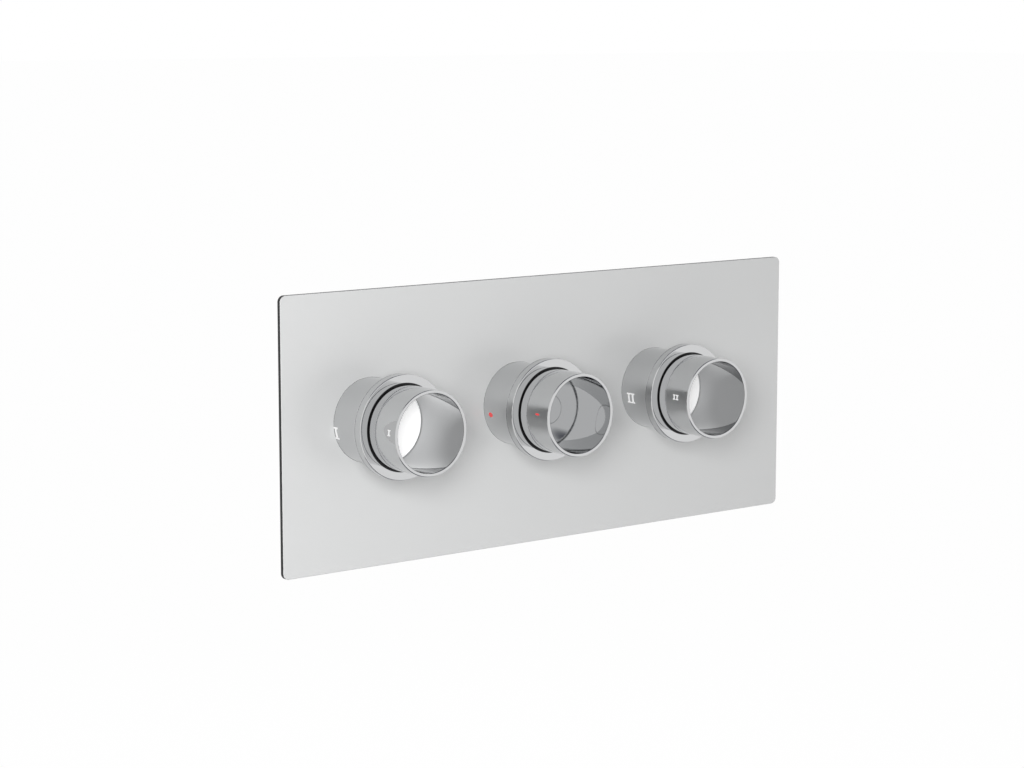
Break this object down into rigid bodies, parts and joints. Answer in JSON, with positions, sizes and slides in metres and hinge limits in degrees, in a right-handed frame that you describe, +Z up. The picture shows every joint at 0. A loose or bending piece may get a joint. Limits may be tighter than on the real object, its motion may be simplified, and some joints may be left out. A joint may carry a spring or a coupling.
{
  "type": "thermostatic shower valve",
  "caption": "Concealed thermostatic shower valve: a thin landscape plate with open cylindrical flow and temperature controls, and the mixing body behind it.",
  "frame": {"origin": "centre of the cover plate's back face, on the finished wall", "axes": "+X to the right along the plate as seen from the front, +Y into the wall, +Z up"},
  "size_m": [0.31, 0.1014, 0.132],
  "materials": {
    "satin_chrome": "satin chrome plate, even and without clear reflections",
    "polished_chrome": "polished chrome plate on brass",
    "black_acetal": "matt black bearing plastic",
    "white_acetal": "satin white moulding",
    "stainless_steel": "plain stainless",
    "brass": "machined and cast brass, unplated",
    "wax_capsule_copper": "bare copper",
    "seal_rubber": "moulded nitrile rubber",
    "ceramic": "lapped ceramic",
    "grey_polymer": "moulded valve plastic"
  },
  "bodies": {
    "valve": {"wall_plate": "satin_chrome", "left_flow_sleeve": "polished_chrome", "temperature_sleeve": "polished_chrome", "right_flow_sleeve": "polished_chrome", "left_flow_collar": "polished_chrome", "temperature_collar": "polished_chrome", "right_flow_collar": "polished_chrome", "left_glide_bush": "black_acetal", "temperature_glide_bush": "black_acetal", "right_glide_bush": "black_acetal", "return_spring": "stainless_steel", "hot_check_spring": "stainless_steel", "cold_check_spring": "stainless_steel", "hot_strainer": "stainless_steel", "cold_strainer": "stainless_steel", "mounting_bracket": "stainless_steel", "bracket_screws": "stainless_steel", "left_flow_bonnet": "brass", "right_flow_bonnet": "brass", "valve_body": "brass", "thermostat_housing": "brass", "thermostat_nut": "brass", "hot_inlet_union": "brass", "cold_inlet_union": "brass", "gallery_plugs": "brass", "plate_seal": "seal_rubber", "plate_o_rings": "seal_rubber", "left_seat_seal": "seal_rubber", "right_seat_seal": "seal_rubber", "thermostat_o_rings": "seal_rubber", "left_fixed_disc": "ceramic", "right_fixed_disc": "ceramic", "temperature_stop_ring": "grey_polymer", "spring_seat": "grey_polymer", "hot_check_case": "grey_polymer", "cold_check_case": "grey_polymer"},
    "left_control": {"left_flow_knob": "polished_chrome", "left_knob_carrier": "white_acetal", "left_flow_spindle": "brass", "left_spindle_o_ring": "seal_rubber", "left_moving_disc": "ceramic"},
    "temperature_control": {"temperature_knob": "polished_chrome", "temperature_knob_hub": "polished_chrome", "temperature_hub_cap": "polished_chrome", "temperature_knob_screw": "stainless_steel", "temperature_spindle": "brass", "temperature_spindle_o_ring": "seal_rubber"},
    "right_control": {"right_flow_knob": "polished_chrome", "right_knob_carrier": "white_acetal", "right_flow_spindle": "brass", "right_spindle_o_ring": "seal_rubber", "right_moving_disc": "ceramic"},
    "pusher": {"temperature_pusher": "brass"},
    "wax_capsule": {"wax_element": "wax_capsule_copper", "thermostat_shuttle": "grey_polymer"},
    "hot_poppet": {"hot_check_poppet": "grey_polymer"},
    "cold_poppet": {"cold_check_poppet": "grey_polymer"}
  },
  "joints": [
    {"name": "left_flow_turn", "type": "hinge", "parent": "valve", "child": "left_control", "pos_m": [-0.1062, 0, 0.0044], "axis": [0, 1, 0], "range_deg": [-90, 0]},
    {"name": "temperature_turn", "type": "hinge", "parent": "valve", "child": "temperature_control", "pos_m": [-0.0193, 0, 0.0044], "axis": [0, 1, 0], "range_deg": [-90, 180]},
    {"name": "right_flow_turn", "type": "hinge", "parent": "valve", "child": "right_control", "pos_m": [0.0676, 0, 0.0044], "axis": [0, 1, 0], "range_deg": [-90, 0]},
    {"name": "pusher_travel", "type": "slide", "parent": "valve", "child": "pusher", "axis": [0, 1, 0], "range_m": [-0.0006, 0.0011]},
    {"name": "wax_stroke", "type": "slide", "parent": "pusher", "child": "wax_capsule", "axis": [0, 1, 0], "range_m": [0, 0.001], "stiffness_N_per_m": 1500, "springref_m": -0.002, "deforming": ["return_spring"]},
    {"name": "hot_check_travel", "type": "slide", "parent": "valve", "child": "hot_poppet", "axis": [0, 0, 1], "range_m": [0, 0.0025], "stiffness_N_per_m": 100, "springref_m": -0.004, "deforming": ["hot_check_spring"]},
    {"name": "cold_check_travel", "type": "slide", "parent": "valve", "child": "cold_poppet", "axis": [0, 0, 1], "range_m": [0, 0.0025], "stiffness_N_per_m": 100, "springref_m": -0.004, "deforming": ["cold_check_spring"]}
  ],
  "couplings": [
    {"joint": "pusher_travel", "follows": "temperature_turn", "m_per_rad": 0.00031831}
  ]
}
